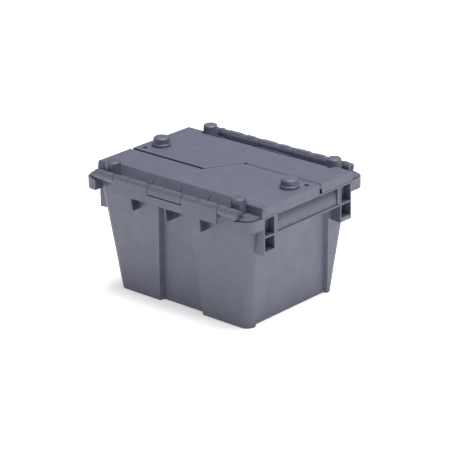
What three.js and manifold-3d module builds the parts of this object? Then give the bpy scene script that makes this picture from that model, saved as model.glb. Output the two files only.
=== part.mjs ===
// Attached lid tote: a tapered tote, two interlocking lids and two hinge rods.
// Millimetres, +Z up, X along the hinges, origin at the centre of the base.
// Everything on the far (+Y) side is the near (-Y) side turned half a turn about Z.
import * as THREE from 'three';
import { mergeVertices } from 'three/addons/utils/BufferGeometryUtils.js';
import Module from 'manifold-3d';

const wasm = await Module();
wasm.setup();

// Driving dimensions
const HALF_LENGTH = 150;        // outer end of the rim brackets
const HALF_WIDTH = 124;         // front face of the hinge band
const WALL = 2.5;
const FLOOR = 3;
const CLEARANCE = 0.5;
const BEYOND = 1;               // how far a cutter runs past what it cuts

// Tote walls: half sizes at the base and how far they lean out per mm of height
const BASE_HALF_X = 120;
const BASE_HALF_Y = 90.3;
const BASE_CORNER = 13;
const LEAN_X = Math.tan(THREE.MathUtils.degToRad(7.0));
const LEAN_Y = Math.tan(THREE.MathUtils.degToRad(5.9));

// Centre recess of each long side and of each end, half widths at their crests
const SIDE_RECESS = { half: 40, topHalf: 28, centre: -2, topCentre: 4, depth: 7.6, run: 2.4, top: 157 };
const END_RECESS = { half: 76, topHalf: 58.5, centre: 0, topCentre: 0, depth: 5.6, run: 2.4, top: 138 };

// Rim
const RIM_TOP = 167.5;
const RIM_BOTTOM = 152;
const RIM_CORNER = 18;
const BAND_BOTTOM = 156;
const SET_BACK_Y = 108;         // rim edge beside the band, where the open lid's knobs go
const CORNER_BAND_X = 126;

// Hinge: the knuckles alternate lid, tote, lid, tote, lid along each rod
const KNUCKLE_EDGES = [-129, -91.7, -28.9, 33.8, 96.6, 132];
const KNUCKLE_RADIUS = 6.4;
const HINGE_Y = -118;
const HINGE_Z = 174.8;
const PAD = { radius: 7.1, halfWidth: 4.2, foot: 4, spans: [[0.06, 0.4], [0.6, 0.8]] };
const LID_FOOT_DROP = 5.7;      // square front foot of the middle lid knuckle, below the axis
const FOOT_SLOT = { front: -122.3, back: -113.7, depth: 1.3 };   // where that foot swings through
const KNUCKLE_GAP = 1;          // between a lid knuckle and the tote's next one
const ROD_RADIUS = 1.5;
const BORE_RADIUS = 1.85;
const ROD_INSET = 1.5;

// Thin ribs that carry the band, named by their +X faces
const GUSSET = { edges: [-60, 3.6, 65], thickness: 2.4, front: 122.5, foot: 119.5, bottom: 136.5 };

// End handles
const BRACKET_OUTER = 91.4;
const BRACKET_INNER = 70;
const PLATE = 2.2;
const PILLAR_INNER = 62.5;
const SHELF_BOTTOM = 138.5;
const SHELF_TOP = 141;
const BRACKET_FOOT = 113.8;
const BRACKET_HEEL = 115;
const GRIP_LIP = 7;

// Lids
const LID_TOP = 181.5;
const LID_BOTTOM = RIM_TOP + CLEARANCE;
const SLOPE_TOP_Y = -84;
const SLOPE_FOOT_Y = -93.5;
const END_LIP_X = 119;          // beyond this the top runs out past the slope
const END_LIP_Y = -92.6;
const FLANGE_HALF_X = 147.5;
const FLANGE_HALF_Y = 119.8;
const FLANGE_CORNER = 15;
const FLANGE_EDGE_Y = -110.3;   // clear of the tote's own knuckles
const SEAM = { x: 13, y: 24, gap: 0.4, groove: 4.6, undercut: 2 };
const UNDERLAP = { reach: 18.6, slope: 3.2, drop: 6.1, startX: -146.5, endX: -18 };
const SEAM_STOP = { reach: 4.4, startX: -149.6 };       // closes the groove at the end of the lid
const TAB_LIP = { from: -62, bottom: 165.4, thickness: 1.7 };
const SLOPE_RIBS = { x: [-48, 3, 54], thickness: 2, foot: 5 };
const SEAL_HOLE = { x: 137, y: 12, radius: 3.6 };

// Stacking knobs: a lower and an upper tier
const CORNER_KNOB = {
  x: 113.8, y: -99.2, base: LID_BOTTOM + 1, step: 175, top: 191.6, radius: 11, upper: 10.6,
};
const END_KNOB = { x: 124.8, y: -8.6, base: LID_TOP - 1, step: 186, top: 195, radius: 13.4, upper: 12 };

// A closed three.js geometry as a solid that can be joined and cut
function solid(geometry) {
  geometry.deleteAttribute('normal');
  geometry.deleteAttribute('uv');
  const merged = mergeVertices(geometry, 1e-4);
  return new wasm.Manifold(new wasm.Mesh({
    numProp: 3,
    vertProperties: new Float32Array(merged.attributes.position.array),
    triVerts: new Uint32Array(merged.index.array),
  }));
}

function join(solids) {
  return solids.reduce((whole, next) => whole.add(next));
}

// The same solid turned half a turn about Z
function turned(part) {
  return part.rotate([0, 0, 180]);
}

function withFarSide(nearPart) {
  return nearPart.add(turned(nearPart));
}

function box(x0, x1, y0, y1, z0, z1) {
  const geometry = new THREE.BoxGeometry(x1 - x0, y1 - y0, z1 - z0);
  geometry.translate((x0 + x1) / 2, (y0 + y1) / 2, (z0 + z1) / 2);
  return solid(geometry);
}

function polygon(points) {
  return new THREE.Shape(points.map(([x, y]) => new THREE.Vector2(x, y)));
}

function extruded(shape, depth, curveSegments = 6) {
  return new THREE.ExtrudeGeometry(shape, { depth, bevelEnabled: false, curveSegments });
}

// A section drawn in (y, z), run from x0 to x1
function alongX(shape, x0, x1) {
  const geometry = extruded(shape, x1 - x0, 8);
  const axes = new THREE.Matrix4().makeBasis(
    new THREE.Vector3(0, 1, 0), new THREE.Vector3(0, 0, 1), new THREE.Vector3(1, 0, 0));
  geometry.applyMatrix4(axes);
  geometry.translate(x0, 0, 0);
  return solid(geometry);
}

// A section drawn in (x, z), run from y0 to y1
function alongY(shape, y0, y1) {
  const geometry = extruded(shape, y1 - y0, 8);
  const axes = new THREE.Matrix4().makeBasis(
    new THREE.Vector3(1, 0, 0), new THREE.Vector3(0, 0, 1), new THREE.Vector3(0, -1, 0));
  geometry.applyMatrix4(axes);
  geometry.translate(0, y1, 0);
  return solid(geometry);
}

// A plan outline, run from z0 to z1
function upright(shape, z0, z1, curveSegments = 6) {
  const geometry = extruded(shape, z1 - z0, curveSegments);
  geometry.translate(0, 0, z0);
  return solid(geometry);
}

function roundedRectangle(halfX, halfY, radius) {
  const shape = new THREE.Shape();
  shape.moveTo(-halfX + radius, -halfY);
  shape.lineTo(halfX - radius, -halfY);
  shape.absarc(halfX - radius, -halfY + radius, radius, -Math.PI / 2, 0);
  shape.absarc(halfX - radius, halfY - radius, radius, 0, Math.PI / 2);
  shape.absarc(-halfX + radius, halfY - radius, radius, Math.PI / 2, Math.PI);
  shape.absarc(-halfX + radius, -halfY + radius, radius, Math.PI, 1.5 * Math.PI);
  return shape;
}

// The tote's outline from z0 to z1, with its walls moved out by grow
function leaningBlock(grow, z0, z1) {
  const geometry = extruded(
    roundedRectangle(BASE_HALF_X + grow, BASE_HALF_Y + grow, BASE_CORNER + grow), z1 - z0);
  const position = geometry.attributes.position;
  for (let i = 0; i < position.count; i += 1) {
    const z = z0 + position.getZ(i);
    const scaleX = 1 + (z * LEAN_X) / (BASE_HALF_X + grow);
    const scaleY = 1 + (z * LEAN_Y) / (BASE_HALF_Y + grow);
    position.setXYZ(i, position.getX(i) * scaleX, position.getY(i) * scaleY, z);
  }
  return solid(geometry);
}

// The space in front of a recess in the wall that faces -Y, widening towards the base
function recessSpace(recess, wallHalf, lean, grow) {
  const outside = 6;
  const z0 = -BEYOND;
  const z1 = recess.top + grow;
  const outline = (z) => {
    const rise = z / recess.top;
    const crest = recess.half + (recess.topHalf - recess.half) * rise + grow;
    const centre = recess.centre + (recess.topCentre - recess.centre) * rise;
    const wallY = wallHalf + z * lean;
    const spread = (outside * recess.run) / recess.depth;
    const floorHalf = crest - recess.run;
    return [
      [centre - crest - spread, -wallY - outside], [centre + crest + spread, -wallY - outside],
      [centre + floorHalf, -wallY + recess.depth + grow],
      [centre - floorHalf, -wallY + recess.depth + grow],
    ];
  };
  const low = outline(z0);
  const high = outline(z1);
  const geometry = extruded(polygon(low), z1 - z0);
  const position = geometry.attributes.position;
  for (let i = 0; i < position.count; i += 1) {
    const corner = low.findIndex(([x, y]) =>
      Math.hypot(x - position.getX(i), y - position.getY(i)) < 0.01);
    const isHigh = position.getZ(i) > (z1 - z0) / 2;
    const [x, y] = isHigh ? high[corner] : low[corner];
    position.setXYZ(i, x, y, isHigh ? z1 : z0);
  }
  return solid(geometry);
}

function allRecesses(grow) {
  const side = withFarSide(recessSpace(SIDE_RECESS, BASE_HALF_Y, LEAN_Y, grow));
  const end = recessSpace(END_RECESS, BASE_HALF_X, LEAN_X, grow).rotate([0, 0, 90]);
  return side.add(withFarSide(end));
}

function rodHole(x0, x1, radius) {
  const geometry = new THREE.CylinderGeometry(radius, radius, x1 - x0, 12);
  geometry.rotateZ(Math.PI / 2);
  geometry.translate((x0 + x1) / 2, HINGE_Y, HINGE_Z);
  return solid(geometry);
}

// Where the two raised pads on top of a knuckle start and end
function padSpans(x0, x1) {
  return PAD.spans.map(([from, to]) => [x1 - to * (x1 - x0), x1 - from * (x1 - x0)]);
}

function pads(x0, x1) {
  return join(padSpans(x0, x1).map(([start, end]) => {
    const round = new THREE.CylinderGeometry(PAD.radius, PAD.radius, end - start, 32);
    round.rotateZ(Math.PI / 2);
    round.translate((start + end) / 2, HINGE_Y, HINGE_Z);
    const cap = box(start, end, HINGE_Y - PAD.halfWidth, HINGE_Y + PAD.halfWidth,
      HINGE_Z + PAD.foot, HINGE_Z + PAD.radius + BEYOND);
    return solid(round).intersect(cap);
  }));
}

// A barrel round the rod, flat where it meets the front face, down to foot behind and below
function knuckle(x0, x1, footTop, footBottom, footBack) {
  const barrel = new THREE.CylinderGeometry(KNUCKLE_RADIUS, KNUCKLE_RADIUS, x1 - x0, 20);
  barrel.rotateZ(Math.PI / 2);
  barrel.translate((x0 + x1) / 2, HINGE_Y, HINGE_Z);
  const foot = box(x0, x1, HINGE_Y, footBack, footBottom, footTop);
  const behindFront = box(x0, x1, -HALF_WIDTH, footBack, footBottom - 2, HINGE_Z + 10);
  return solid(barrel).intersect(behindFront).add(join([foot, pads(x0, x1)]));
}

// ---- Tote ----------------------------------------------------------------

function hingeSide() {
  const [, toteStart, lidStart, lidEnd, toteEnd] = KNUCKLE_EDGES;
  const knuckles = [[toteStart, lidStart], [lidEnd, toteEnd]].map(([x0, x1]) => {
    const back = HINGE_Y + KNUCKLE_RADIUS;
    const post = box(x0, x1, -HALF_WIDTH, back, RIM_TOP - WALL, HINGE_Z);
    return knuckle(x0, x1, HINGE_Z, RIM_TOP - WALL, back).add(post);
  });
  const ribTop = RIM_TOP - WALL / 2;
  const ribSection = polygon([
    [-GUSSET.front, ribTop], [-GUSSET.front, BAND_BOTTOM], [-GUSSET.foot, GUSSET.bottom],
    [-BASE_HALF_Y - 4, GUSSET.bottom], [-BASE_HALF_Y - 4, ribTop],
  ]);
  const gussets = GUSSET.edges.map((edge) => alongX(ribSection, edge - GUSSET.thickness, edge));
  return join([...knuckles, ...gussets]);
}

// One end handle, on the +X end
function endHandle() {
  const heelX = BASE_HALF_X + 10;
  const plateSection = polygon([
    [heelX, RIM_TOP - WALL / 2], [HALF_LENGTH, RIM_TOP - WALL / 2],
    [HALF_LENGTH, BRACKET_FOOT], [heelX + 4, BRACKET_HEEL], [heelX, BRACKET_HEEL],
  ]);
  const footSection = polygon([
    [heelX, BRACKET_HEEL], [heelX + 4, BRACKET_HEEL], [HALF_LENGTH, BRACKET_FOOT],
    [HALF_LENGTH, BRACKET_FOOT + 6], [heelX, BRACKET_HEEL + 6],
  ]);
  const gripOuter = [[148, SHELF_BOTTOM], [147.9, 147], [147.1, 154], [145.6, 159.5], [143.4, 163.2]];
  const gripTop = RIM_TOP - WALL / 2;
  const gripSection = polygon([
    ...gripOuter, [140.8, gripTop],
    [140.8 - WALL, gripTop], ...gripOuter.map(([x, z]) => [x - WALL, z]).reverse(),
  ]);
  const shelfX = HALF_LENGTH - GRIP_LIP;
  const pieces = [
    alongY(gripSection, -PILLAR_INNER - BEYOND, PILLAR_INNER + BEYOND),
    box(shelfX, HALF_LENGTH, -BRACKET_OUTER, BRACKET_OUTER, SHELF_BOTTOM, SHELF_TOP),
  ];
  for (const side of [-1, 1]) {
    const span = (a, b) => [Math.min(side * a, side * b), Math.max(side * a, side * b)];
    const outer = span(BRACKET_OUTER - PLATE, BRACKET_OUTER);
    const inner = span(BRACKET_INNER - PLATE, BRACKET_INNER);
    const pillar = span(PILLAR_INNER, BRACKET_INNER);
    const whole = span(BRACKET_INNER - PLATE, BRACKET_OUTER);
    pieces.push(
      alongY(plateSection, ...outer),
      alongY(plateSection, ...inner),
      alongY(footSection, ...whole),
      box(heelX, HALF_LENGTH, ...whole, SHELF_BOTTOM, SHELF_TOP),
      box(heelX, HALF_LENGTH - 0.5, ...pillar, SHELF_BOTTOM, RIM_TOP - WALL / 2),
    );
  }
  return join(pieces);
}

function rim(wallSolid) {
  const outer = upright(roundedRectangle(HALF_LENGTH, HALF_WIDTH, RIM_CORNER), RIM_BOTTOM, RIM_TOP, 8);
  const channelOutline = roundedRectangle(
    HALF_LENGTH - WALL, HALF_WIDTH - WALL, RIM_CORNER - WALL);
  const channel = upright(channelOutline, RIM_BOTTOM - BEYOND, RIM_TOP - WALL, 8).subtract(wallSolid);
  const [, bandStart, lidStart, lidEnd, bandEnd] = KNUCKLE_EDGES;
  const front = -HALF_WIDTH - BEYOND;
  const cutTop = RIM_TOP + BEYOND;
  const cuts = join([
    box(bandEnd, CORNER_BAND_X, front, -SET_BACK_Y, RIM_BOTTOM - 2, cutTop),
    box(-CORNER_BAND_X, bandStart, front, -SET_BACK_Y, RIM_BOTTOM - 2, cutTop),
    box(bandStart, bandEnd, front, -HALF_WIDTH + WALL + BEYOND, RIM_BOTTOM - 2, BAND_BOTTOM),
    box(HALF_LENGTH - WALL - BEYOND, HALF_LENGTH + BEYOND, -BRACKET_OUTER, BRACKET_OUTER,
      RIM_BOTTOM - 2, RIM_TOP - WALL),
    box(HALF_LENGTH - TAB_LIP.thickness - CLEARANCE, HALF_LENGTH + BEYOND,
      TAB_LIP.from - CLEARANCE, SEAM.y, RIM_BOTTOM - 2, cutTop),
    box(lidStart, lidEnd, FOOT_SLOT.front, FOOT_SLOT.back, RIM_TOP - FOOT_SLOT.depth, cutTop),
  ]);
  const cornerWeb = (x) => box(x, x + WALL, -HALF_WIDTH + WALL / 2, -SET_BACK_Y, RIM_BOTTOM, RIM_TOP);
  const webs = join([cornerWeb(CORNER_BAND_X), cornerWeb(-CORNER_BAND_X - WALL)]);
  return outer.subtract(channel).subtract(withFarSide(cuts)).add(withFarSide(webs));
}

function toteSolid() {
  const wallSolid = leaningBlock(0, 0, RIM_TOP).subtract(allRecesses(0));
  const inside = leaningBlock(-WALL, FLOOR, RIM_TOP + BEYOND).subtract(allRecesses(WALL));
  const [, toteStart, , , toteEnd] = KNUCKLE_EDGES;
  const bore = rodHole(toteStart - BEYOND, toteEnd + BEYOND, BORE_RADIUS);
  return join([wallSolid, rim(wallSolid), withFarSide(hingeSide()), withFarSide(endHandle())])
    .subtract(inside)
    .subtract(withFarSide(bore));
}

// ---- Lids ----------------------------------------------------------------

// Plan area that the near lid's top covers: its short half on -X, its long tab on +X
function nearLidOutline() {
  const slope = SEAM.x / SEAM.y;
  const shortEdge = -SEAM.y - SEAM.groove;
  const tabEdge = SEAM.y - SEAM.gap;
  const onSeam = (y) => y * slope + 2 * SEAM.gap;
  const side = HALF_LENGTH + BEYOND;
  const front = -HALF_WIDTH - BEYOND;
  return polygon([
    [-side, front], [side, front], [side, tabEdge],
    [onSeam(tabEdge), tabEdge], [onSeam(shortEdge), shortEdge], [-side, shortEdge],
  ]);
}

// The raised top with its end lips and its sloping hinge side
function lidTop() {
  const past = SEAM.y + BEYOND;
  const flangeTop = LID_BOTTOM + WALL;
  const outer = polygon([
    [SLOPE_FOOT_Y, LID_BOTTOM], [past, LID_BOTTOM], [past, LID_TOP],
    [SLOPE_TOP_Y, LID_TOP], [SLOPE_FOOT_Y, flangeTop],
  ]);
  const inner = polygon([
    [SLOPE_FOOT_Y + WALL + 1, LID_BOTTOM - BEYOND], [past + BEYOND, LID_BOTTOM - BEYOND],
    [past + BEYOND, LID_TOP - WALL], [SLOPE_TOP_Y + 1, LID_TOP - WALL],
    [SLOPE_FOOT_Y + WALL + 1, flangeTop - 0.5],
  ]);
  const tabEdge = SEAM.y - SEAM.gap;
  const undercut = polygon([
    [tabEdge + BEYOND, LID_TOP - 0.6], [tabEdge, LID_TOP - 0.6],
    [tabEdge - SEAM.undercut, LID_TOP - WALL - BEYOND], [tabEdge + BEYOND, LID_TOP - WALL - BEYOND],
  ]);
  const ear = polygon([
    [SLOPE_FOOT_Y - BEYOND, LID_BOTTOM], [SLOPE_TOP_Y + BEYOND, LID_BOTTOM],
    [SLOPE_TOP_Y + BEYOND, LID_TOP], [END_LIP_Y, LID_TOP],
  ]);
  const underEar = polygon([
    [SLOPE_FOOT_Y + WALL, LID_BOTTOM - BEYOND], [SLOPE_TOP_Y + 2, LID_BOTTOM - BEYOND],
    [SLOPE_TOP_Y + 2, LID_TOP - WALL], [END_LIP_Y + WALL, LID_TOP - WALL],
  ]);
  const bothEnds = (section, x0, x1) => alongX(section, x0, x1).add(alongX(section, -x1, -x0));
  const lip = box(HALF_LENGTH - TAB_LIP.thickness, HALF_LENGTH, TAB_LIP.from, tabEdge,
    TAB_LIP.bottom, LID_BOTTOM + BEYOND);
  return alongX(outer, -HALF_LENGTH, HALF_LENGTH)
    .subtract(alongX(inner, -HALF_LENGTH + WALL, HALF_LENGTH - WALL))
    .intersect(upright(nearLidOutline(), LID_BOTTOM - 2, LID_TOP + BEYOND))
    .subtract(alongX(undercut, 0, HALF_LENGTH - WALL))
    .add(lip.add(bothEnds(ear, END_LIP_X, HALF_LENGTH)))
    .subtract(bothEnds(underEar, END_LIP_X + WALL, HALF_LENGTH - WALL));
}

function hingeFlange() {
  const plan = roundedRectangle(FLANGE_HALF_X, FLANGE_HALF_Y, FLANGE_CORNER);
  const plate = upright(plan, LID_BOTTOM, LID_BOTTOM + WALL);
  const strip = box(-HALF_LENGTH, HALF_LENGTH, -HALF_WIDTH, SLOPE_FOOT_Y + WALL, 0, LID_TOP);
  const [, bandStart, , , bandEnd] = KNUCKLE_EDGES;
  const band = box(bandStart - CLEARANCE, bandEnd + CLEARANCE, -HALF_WIDTH, FLANGE_EDGE_Y, 0, LID_TOP);
  return plate.intersect(strip).subtract(band);
}

function lidKnuckles() {
  const [first, toteA, lidStart, lidEnd, toteB, last] = KNUCKLE_EDGES;
  const spans = [
    [first, toteA - KNUCKLE_GAP], [lidStart + KNUCKLE_GAP, lidEnd - KNUCKLE_GAP],
    [toteB + KNUCKLE_GAP, last],
  ];
  const footBottom = HINGE_Z - KNUCKLE_RADIUS;
  const squareFoot = box(lidStart + KNUCKLE_GAP, lidEnd - KNUCKLE_GAP, -HALF_WIDTH, HINGE_Y,
    HINGE_Z - LID_FOOT_DROP, HINGE_Z);
  return join(spans.map(([x0, x1]) =>
    knuckle(x0, x1, footBottom + WALL + 1, footBottom, FLANGE_EDGE_Y + BEYOND))).add(squareFoot);
}

// The stepped edge of the short half, which runs under the other lid's long tab
function underlap() {
  const edge = -SEAM.y - SEAM.groove;
  const top = LID_TOP - UNDERLAP.drop + WALL;
  const section = (reach) => polygon([
    [edge - WALL, LID_TOP], [edge - WALL, top - WALL], [edge + reach, top - WALL],
    [edge + reach, top], [edge + UNDERLAP.slope, top], [edge, LID_TOP],
  ]);
  return alongX(section(UNDERLAP.reach), UNDERLAP.startX, UNDERLAP.endX)
    .add(alongX(section(SEAM_STOP.reach), SEAM_STOP.startX, UNDERLAP.startX + BEYOND));
}

function slopeRibs() {
  const flangeTop = LID_BOTTOM + WALL;
  const section = polygon([
    [SLOPE_TOP_Y, LID_TOP - 0.2], [SLOPE_FOOT_Y - SLOPE_RIBS.foot, flangeTop - 0.5],
    [SLOPE_FOOT_Y + 1, flangeTop - 0.5], [SLOPE_TOP_Y + 1, LID_TOP - 1.5],
  ]);
  return join(SLOPE_RIBS.x.map((x) =>
    alongX(section, x - SLOPE_RIBS.thickness / 2, x + SLOPE_RIBS.thickness / 2)));
}

// A solid turned about the vertical line through (x, y)
function turnedAt(x, y, points) {
  const geometry = new THREE.LatheGeometry(points.map(([r, z]) => new THREE.Vector2(r, z)), 24);
  geometry.rotateX(Math.PI / 2);
  geometry.translate(x, y, 0);
  return solid(geometry);
}

// A round stacking knob, hollow from below
function knob({ x, y, base, step, top, radius, upper }) {
  const outer = turnedAt(x, y, [
    [0, base], [radius, base], [radius, step - 0.8], [upper, step],
    [upper - 0.4, top - 2], [upper - 2.4, top], [0, top],
  ]);
  const inner = upper - WALL;
  const hollow = turnedAt(x, y, [
    [0, base - 6], [inner, base - 6], [inner - 0.6, top - 3], [0, top - 3],
  ]);
  return { outer, hollow };
}

function nearLidSolid() {
  const knobs = [
    knob(CORNER_KNOB), knob({ ...CORNER_KNOB, x: -CORNER_KNOB.x }), knob(END_KNOB),
  ];
  const sealHole = (x, y) => {
    const geometry = new THREE.CylinderGeometry(SEAL_HOLE.radius, SEAL_HOLE.radius, 40, 16);
    geometry.rotateX(Math.PI / 2);
    geometry.translate(x, y, LID_TOP);
    return solid(geometry);
  };
  const [first, , , , , last] = KNUCKLE_EDGES;
  return join([lidTop(), hingeFlange(), lidKnuckles(), underlap(), slopeRibs()])
    .add(join(knobs.map(({ outer }) => outer)))
    .subtract(join(knobs.map(({ hollow }) => hollow)))
    .subtract(rodHole(first - BEYOND, last + BEYOND, BORE_RADIUS))
    .subtract(sealHole(SEAL_HOLE.x, SEAL_HOLE.y))
    .subtract(sealHole(-SEAL_HOLE.x, -SEAL_HOLE.y));
}

// ---- Scene graph ---------------------------------------------------------

function meshOf(name, part, material) {
  const { vertProperties, triVerts } = part.getMesh();
  const geometry = new THREE.BufferGeometry();
  geometry.setAttribute('position', new THREE.BufferAttribute(vertProperties, 3));
  geometry.setIndex(new THREE.BufferAttribute(triVerts, 1));
  geometry.computeVertexNormals();
  const mesh = new THREE.Mesh(geometry, material);
  mesh.name = name;
  return mesh;
}

function plastic() {
  return new THREE.MeshStandardMaterial({ color: 0x646775, roughness: 0.5, metalness: 0 });
}

function hingeRod(name) {
  const [first, , , , , last] = KNUCKLE_EDGES;
  const length = last - first - 2 * ROD_INSET;
  const geometry = new THREE.CylinderGeometry(ROD_RADIUS, ROD_RADIUS, length, 16);
  geometry.rotateZ(Math.PI / 2);
  const steel = new THREE.MeshStandardMaterial({ color: 0xb4b6b8, roughness: 0.35, metalness: 1 });
  const rod = new THREE.Mesh(geometry, steel);
  rod.name = name;
  rod.position.set((first + last) / 2, HINGE_Y, HINGE_Z);
  return rod;
}

const nearLid = meshOf('near_lid', nearLidSolid(), plastic());
const farLid = meshOf('far_lid', nearLidSolid(), plastic());
const farSide = new THREE.Group();
farSide.rotation.z = Math.PI;
farSide.add(farLid, hingeRod('far_hinge_rod'));

const tote = new THREE.Group();
tote.add(meshOf('tote', toteSolid(), plastic()), nearLid, hingeRod('near_hinge_rod'), farSide);

export default tote;
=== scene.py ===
import math

import bmesh
import bpy
from mathutils import Matrix, Vector


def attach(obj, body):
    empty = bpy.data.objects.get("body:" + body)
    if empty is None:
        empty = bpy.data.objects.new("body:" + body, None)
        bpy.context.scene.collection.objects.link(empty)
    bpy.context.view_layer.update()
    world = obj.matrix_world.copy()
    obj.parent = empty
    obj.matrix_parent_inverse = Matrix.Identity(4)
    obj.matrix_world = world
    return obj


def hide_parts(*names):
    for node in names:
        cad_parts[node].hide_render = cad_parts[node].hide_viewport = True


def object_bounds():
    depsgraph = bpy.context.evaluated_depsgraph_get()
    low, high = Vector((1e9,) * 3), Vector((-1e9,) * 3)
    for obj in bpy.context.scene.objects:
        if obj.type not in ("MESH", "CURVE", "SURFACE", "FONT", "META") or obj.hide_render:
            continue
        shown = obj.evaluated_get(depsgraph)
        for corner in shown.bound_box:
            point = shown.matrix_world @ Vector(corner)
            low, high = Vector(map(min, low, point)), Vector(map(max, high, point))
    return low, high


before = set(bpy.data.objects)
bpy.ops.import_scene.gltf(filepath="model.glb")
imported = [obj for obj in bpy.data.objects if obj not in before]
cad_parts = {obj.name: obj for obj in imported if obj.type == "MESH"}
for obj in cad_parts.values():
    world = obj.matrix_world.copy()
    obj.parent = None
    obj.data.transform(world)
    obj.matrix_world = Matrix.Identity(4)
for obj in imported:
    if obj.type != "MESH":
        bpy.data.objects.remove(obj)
CAD_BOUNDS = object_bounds()
HALF_DEPTH = CAD_BOUNDS[1].y        # from the middle to the near or the far side
TOP = CAD_BOUNDS[1].z               # top of the tallest knobs

MM = 0.001
SCENE = bpy.context.scene
WHITE = (1.0, 1.0, 1.0)

# Camera: a long lens that looks down on the near hinge and the right end
VIEW_AZIMUTH = math.radians(42.0)
VIEW_ELEVATION = math.radians(21.2)
VIEW_ROLL = math.radians(-1.08)
VIEW_DISTANCE = 3.13
VIEW_FOCAL_WIDTHS = 5.03            # focal length in picture widths
VIEW_TARGET = Vector((0.0, 0.0, 0.0945))
SENSOR_WIDTH = 36.0

# Soft studio lights: place, diameter (m) and power (W), all aimed at the middle of the tote
LIGHTS = {
    "key_right": ((3.0, -0.2, 1.6), 1.6, 33.0),
    "fill_front": ((-0.7, -3.2, 1.9), 2.0, 26.0),
    "top": ((0.3, 0.4, 3.0), 2.4, 160.0),
}
LIGHT_TARGET = Vector((0.0, 0.0, 0.1))
SURROUNDINGS = 0.28                 # strength of the white world

# Colours, linear
PLASTIC = (0.074, 0.078, 0.114)
PLASTIC_DARK = (0.070, 0.074, 0.107)
# painted shade: the dark tone painted where shade falls, by the near hinge and under the near band
PLASTIC_PAINTED_SHADE = (0.028, 0.029, 0.038)
PLASTIC_SCUFFED = (0.098, 0.104, 0.146)
STEEL = (0.56, 0.57, 0.58)
STEEL_DULL = tuple(0.8 * channel for channel in STEEL)
FLOOR = (0.93, 0.93, 0.93)

FLOOR_GLOW = 0.40                   # keeps the pale floor white in the soft shadow
FLOOR_ROUGHNESS = 0.9
FLOOR_SIZE = 30.0
FLOOR_GAP = 0.5 * MM                # keeps the floor clear of the tote's underside

# How a copy of a solid is refined
WELD = 0.02 * MM
FLAT_WITHIN = math.radians(1.0)     # faces this close to one plane become one face
BEVEL = 0.7 * MM
BEVEL_SEGMENTS = 3
BEVEL_FROM = math.radians(28.0)     # only edges sharper than this are rounded
FACE_AREA_WEIGHT = 100              # large faces keep their normals and stay flat
ROD_SHARP_FROM = math.radians(35.0)

# Patterns. Each is a noise with its scale per metre. Two stops, each (noise, result), turn it into
# a share or a roughness. A stretch below 1 draws a pattern out along that axis.
GRAIN = 0.55                        # a noise's own roughness, where its pattern gives none
STREAKS = {"scale": 9.0, "detail": 3.0, "stops": ((0.3, 0.0), (0.7, 1.0))}
STREAK_STRETCH = (1.0, 1.0, 0.22)
SCUFFS = {"scale": 34.0, "detail": 6.0, "grain": 0.7, "stops": ((0.55, 0.0), (0.8, 0.5))}
# patches that break up the painted shade
PAINTED_SHADE_PATCHES = {"scale": 55.0, "detail": 4.0, "stops": ((0.3, 0.6), (0.7, 1.0))}
PLASTIC_SHEEN = {"scale": 60.0, "detail": 5.0, "stops": ((0.3, 0.40), (0.7, 0.56))}
WIRE_SHEEN = {"scale": 2500.0, "detail": 2.0, "stops": ((0.3, 0.28), (0.7, 0.46))}
WIRE_STRETCH = (0.05, 1.0, 1.0)
WIRE_BLOTCHES = {"scale": 90.0, "detail": 3.0}

# Bumps in the plastic: noise scale per metre, strength, and depth in metres
SKIN = {"scale": 1500.0, "strength": 0.12, "depth": 0.15 * MM}
WAVES = {"scale": 18.0, "strength": 0.25, "depth": 0.6 * MM}

BUMP_DETAIL = 2.0
PLASTIC_IOR = 1.5
SEED_OFFSET = (1.0, 0.7, 0.3)       # how far a seed moves a moulding's patterns along each axis

# Painted shade, by place: darkening painted where shade falls, in the valley of the near hinge and
# on the ribs under the near band. Its share, and limits that are each (where it starts, where it
# is full).
# "across" is measured from the middle towards the near side, "height" from the floor.
PAINTED_SHADE_ZONES = {
    "valley of the near hinge": {
        "share": 0.35,
        "across": (
            (HALF_DEPTH - 41.0 * MM, HALF_DEPTH - 35.0 * MM),
            (HALF_DEPTH - 1.2 * MM, HALF_DEPTH - 2.5 * MM),
        ),
        "height": ((TOP - 29.0 * MM, TOP - 26.0 * MM),),
    },
    "ribs under the near band": {
        "share": 1.0,
        "across": (
            (HALF_DEPTH - 17.5 * MM, HALF_DEPTH - 15.5 * MM),
            (HALF_DEPTH + 2.0 * MM, HALF_DEPTH),
        ),
        "height": (
            (TOP - 75.0 * MM, TOP - 65.0 * MM),
            (TOP - 42.0 * MM, TOP - 44.0 * MM),
        ),
    },
}

# Each moulding: its node, the name of its finished shell, its body, its slot and its seed
SHELLS = (
    ("tote", "tote_shell", "tote", "tote_plastic", 3.1),
    ("near_lid", "near_lid_shell", "near_lid", "lid_plastic", 7.7),
    ("far_lid", "far_lid_shell", "far_lid", "lid_plastic", 12.9),
)
RODS = ("near_hinge_rod", "far_hinge_rod")

# Places of a mix node's sockets when it mixes colours
MIX_SHARE, MIX_LOW, MIX_HIGH, MIX_RESULT = 0, 6, 7, 2


# ---- Materials -------------------------------------------------------------

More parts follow.
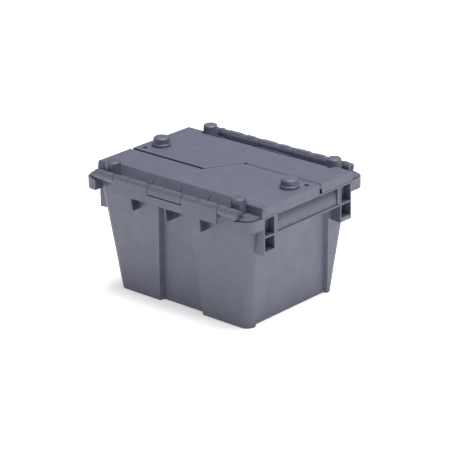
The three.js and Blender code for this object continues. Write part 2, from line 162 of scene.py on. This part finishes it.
class Look:
    """A material in the making. Its methods add nodes and return their outputs."""

    def __init__(self, name):
        self.material = bpy.data.materials.new(name)
        self.material.use_nodes = True
        self.nodes = self.material.node_tree.nodes
        self.links = self.material.node_tree.links
        self.surface = self.nodes["Principled BSDF"].inputs

    def feed(self, socket, value):
        """Gives a socket another node's output, a colour or a plain value."""
        if isinstance(value, bpy.types.NodeSocket):
            self.links.new(value, socket)
        elif socket.type == "RGBA":
            socket.default_value = (*value, 1.0)
        else:
            socket.default_value = value

    def object_coords(self):
        return self.nodes.new("ShaderNodeTexCoord").outputs["Object"]

    def mapped(self, coords, how, amounts):
        """Coordinates moved by amounts (how is "Location") or multiplied by them ("Scale")."""
        node = self.nodes.new("ShaderNodeMapping")
        self.feed(node.inputs["Vector"], coords)
        self.feed(node.inputs[how], amounts)
        return node.outputs["Vector"]

    def noise(self, coords, scale, detail, grain=GRAIN):
        node = self.nodes.new("ShaderNodeTexNoise")
        self.feed(node.inputs["Vector"], coords)
        self.feed(node.inputs["Scale"], scale)
        self.feed(node.inputs["Detail"], detail)
        self.feed(node.inputs["Roughness"], grain)
        return node.outputs["Fac"]

    def pattern(self, coords, stops, **noise):
        """A noise with its values turned into others along the two stops."""
        node = self.nodes.new("ShaderNodeValToRGB")
        for element, (position, result) in zip(node.color_ramp.elements, stops):
            element.position = position
            element.color = (result, result, result, 1.0)
        self.feed(node.inputs["Fac"], self.noise(coords, **noise))
        return node.outputs["Color"]

    def mixed(self, share, low, high):
        """The colour low where share is 0, and high where it is 1."""
        node = self.nodes.new("ShaderNodeMix")
        node.data_type = "RGBA"
        self.feed(node.inputs[MIX_SHARE], share)
        self.feed(node.inputs[MIX_LOW], low)
        self.feed(node.inputs[MIX_HIGH], high)
        return node.outputs[MIX_RESULT]

    def arithmetic(self, operation, first, second):
        """The result is kept from 0 to 1."""
        node = self.nodes.new("ShaderNodeMath")
        node.operation = operation
        node.use_clamp = True
        self.feed(node.inputs[0], first)
        self.feed(node.inputs[1], second)
        return node.outputs[0]

    def from_to(self, value, start, full):
        """0 at start, 1 at full, and held beyond them. Full may be below start."""
        node = self.nodes.new("ShaderNodeMapRange")
        self.feed(node.inputs["Value"], value)
        self.feed(node.inputs["From Min"], start)
        self.feed(node.inputs["From Max"], full)
        return node.outputs["Result"]

    def bump(self, coords, scale, strength, depth, under=None):
        """The surface's normal with bumps on it, laid over the bumps under them."""
        node = self.nodes.new("ShaderNodeBump")
        self.feed(node.inputs["Strength"], strength)
        self.feed(node.inputs["Distance"], depth)
        self.feed(node.inputs["Height"], self.noise(coords, scale, BUMP_DETAIL))
        if under is not None:
            self.feed(node.inputs["Normal"], under)
        return node.outputs["Normal"]


def painted_shade_share(look, coords, place):
    """How much painted shade a point gets, from 0 to 1: its zones lie at coords, its patches at
    place.
    """
    split = look.nodes.new("ShaderNodeSeparateXYZ")
    look.feed(split.inputs["Vector"], coords)
    where = {
        "across": look.arithmetic("MULTIPLY", split.outputs["Y"], -1.0),
        "height": split.outputs["Z"],
    }
    patches = look.pattern(place, **PAINTED_SHADE_PATCHES)
    total = 0.0
    for zone in PAINTED_SHADE_ZONES.values():
        amount = look.arithmetic("MULTIPLY", patches, zone["share"])
        for direction, value in where.items():
            for start, full in zone[direction]:
                amount = look.arithmetic("MULTIPLY", amount, look.from_to(value, start, full))
        total = look.arithmetic("ADD", total, amount)
    return total


def moulded_plastic(name, seed):
    """Satin polyethylene: faint flow streaks, painted shade in the near hinge's valley and under
    the near band, a few pale scuffs and a fine skin.
    """
    look = Look(name)
    coords = look.object_coords()
    place = look.mapped(coords, "Location", [seed * share for share in SEED_OFFSET])

    streaks = look.pattern(look.mapped(place, "Scale", STREAK_STRETCH), **STREAKS)
    colour = look.mixed(streaks, PLASTIC_DARK, PLASTIC)
    # painted shade: darkens the colour in the near hinge's valley and on the ribs under the near
    # band
    colour = look.mixed(painted_shade_share(look, coords, place), colour, PLASTIC_PAINTED_SHADE)
    colour = look.mixed(look.pattern(place, **SCUFFS), colour, PLASTIC_SCUFFED)
    look.feed(look.surface["Base Color"], colour)
    look.feed(look.surface["Roughness"], look.pattern(place, **PLASTIC_SHEEN))
    look.feed(look.surface["IOR"], PLASTIC_IOR)

    skin = look.bump(place, **SKIN)
    look.feed(look.surface["Normal"], look.bump(place, under=skin, **WAVES))
    return look.material


def drawn_wire(name):
    """Zinc plated wire with fine marks that run along it."""
    look = Look(name)
    coords = look.object_coords()
    along = look.mapped(coords, "Scale", WIRE_STRETCH)
    blotches = look.noise(coords, **WIRE_BLOTCHES)
    look.feed(look.surface["Base Color"], look.mixed(blotches, STEEL, STEEL_DULL))
    look.feed(look.surface["Roughness"], look.pattern(along, **WIRE_SHEEN))
    look.feed(look.surface["Metallic"], 1.0)
    return look.material


def studio_floor():
    look = Look("studio_floor")
    look.feed(look.surface["Base Color"], FLOOR)
    look.feed(look.surface["Roughness"], FLOOR_ROUGHNESS)
    look.feed(look.surface["Emission Color"], FLOOR)
    look.feed(look.surface["Emission Strength"], FLOOR_GLOW)
    return look.material


# ---- Pieces ----------------------------------------------------------------

def welded_copy(node, name):
    """A copy of a solid's mesh with its flat faces made whole."""
    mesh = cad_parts[node].data.copy()
    mesh.name = name
    work = bmesh.new()
    work.from_mesh(mesh)
    bmesh.ops.remove_doubles(work, verts=work.verts, dist=WELD)
    bmesh.ops.dissolve_limit(
        work, angle_limit=FLAT_WITHIN, verts=work.verts, edges=work.edges,
        use_dissolve_boundaries=False)
    work.to_mesh(mesh)
    work.free()
    mesh.shade_smooth()
    return mesh


def round_edges(piece):
    """Rounds the piece's sharp edges, and makes the result its mesh."""
    rounding = piece.modifiers.new("rounding", "BEVEL")
    rounding.width = BEVEL
    rounding.segments = BEVEL_SEGMENTS
    rounding.limit_method = "ANGLE"
    rounding.angle_limit = BEVEL_FROM
    rounding.use_clamp_overlap = True
    rounding.miter_outer = "MITER_ARC"
    evening = piece.modifiers.new("evening", "WEIGHTED_NORMAL")
    evening.weight = FACE_AREA_WEIGHT
    evening.keep_sharp = True
    graph = bpy.context.evaluated_depsgraph_get()
    mesh = bpy.data.meshes.new_from_object(piece.evaluated_get(graph))
    piece.modifiers.clear()
    piece.data = mesh


def give_material(piece, material):
    piece.data.materials.clear()
    piece.data.materials.append(material)


def make_shells():
    """Finished mouldings in the place of the faceted solids."""
    for node, name, body, slot, seed in SHELLS:
        piece = bpy.data.objects.new(name, welded_copy(node, name))
        SCENE.collection.objects.link(piece)
        round_edges(piece)
        give_material(piece, moulded_plastic(name + "_plastic", seed))
        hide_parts(node)
        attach(piece, body)


def make_rods():
    """The rods keep their solids, shaded as round wire."""
    wire = drawn_wire("hinge_wire")
    for node in RODS:
        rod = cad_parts[node]
        give_material(rod, wire)
        rod.data.shade_smooth()
        rod.data.set_sharp_from_angle(angle=ROD_SHARP_FROM)


# ---- Studio ----------------------------------------------------------------

def make_floor():
    bpy.ops.mesh.primitive_plane_add(size=FLOOR_SIZE, location=(0, 0, -FLOOR_GAP))
    floor = bpy.context.object
    floor.name = "studio_floor"
    floor.data.materials.append(studio_floor())


def turn_towards(direction):
    """The rotation of a lamp or camera, which face along their own -Z, to face a direction."""
    return direction.to_track_quat("-Z", "Y")


def make_lights():
    for name, (place, size, power) in LIGHTS.items():
        light = bpy.data.lights.new(name, "AREA")
        light.shape = "DISK"
        light.size = size
        light.energy = power
        lamp = bpy.data.objects.new(name, light)
        SCENE.collection.objects.link(lamp)
        lamp.location = place
        lamp.rotation_euler = turn_towards(LIGHT_TARGET - lamp.location).to_euler()


def make_surroundings():
    world = bpy.data.worlds.new("studio")
    world.use_nodes = True
    background = world.node_tree.nodes["Background"].inputs
    background["Color"].default_value = (*WHITE, 1.0)
    background["Strength"].default_value = SURROUNDINGS
    SCENE.world = world


def make_camera():
    data = bpy.data.cameras.new("photo_camera")
    data.sensor_fit = "HORIZONTAL"
    data.sensor_width = SENSOR_WIDTH
    data.lens = SENSOR_WIDTH * VIEW_FOCAL_WIDTHS
    camera = bpy.data.objects.new("photo_camera", data)
    SCENE.collection.objects.link(camera)
    back = Vector((
        math.sin(VIEW_AZIMUTH) * math.cos(VIEW_ELEVATION),
        -math.cos(VIEW_AZIMUTH) * math.cos(VIEW_ELEVATION),
        math.sin(VIEW_ELEVATION),
    ))
    camera.matrix_world = (
        Matrix.Translation(VIEW_TARGET + back * VIEW_DISTANCE)
        @ turn_towards(-back).to_matrix().to_4x4()
        @ Matrix.Rotation(VIEW_ROLL, 4, "Z"))
    SCENE.camera = camera


def main():
    make_camera()
    make_shells()
    make_rods()
    make_floor()
    make_lights()
    make_surroundings()
    SCENE.view_settings.view_transform = "Standard"


main()
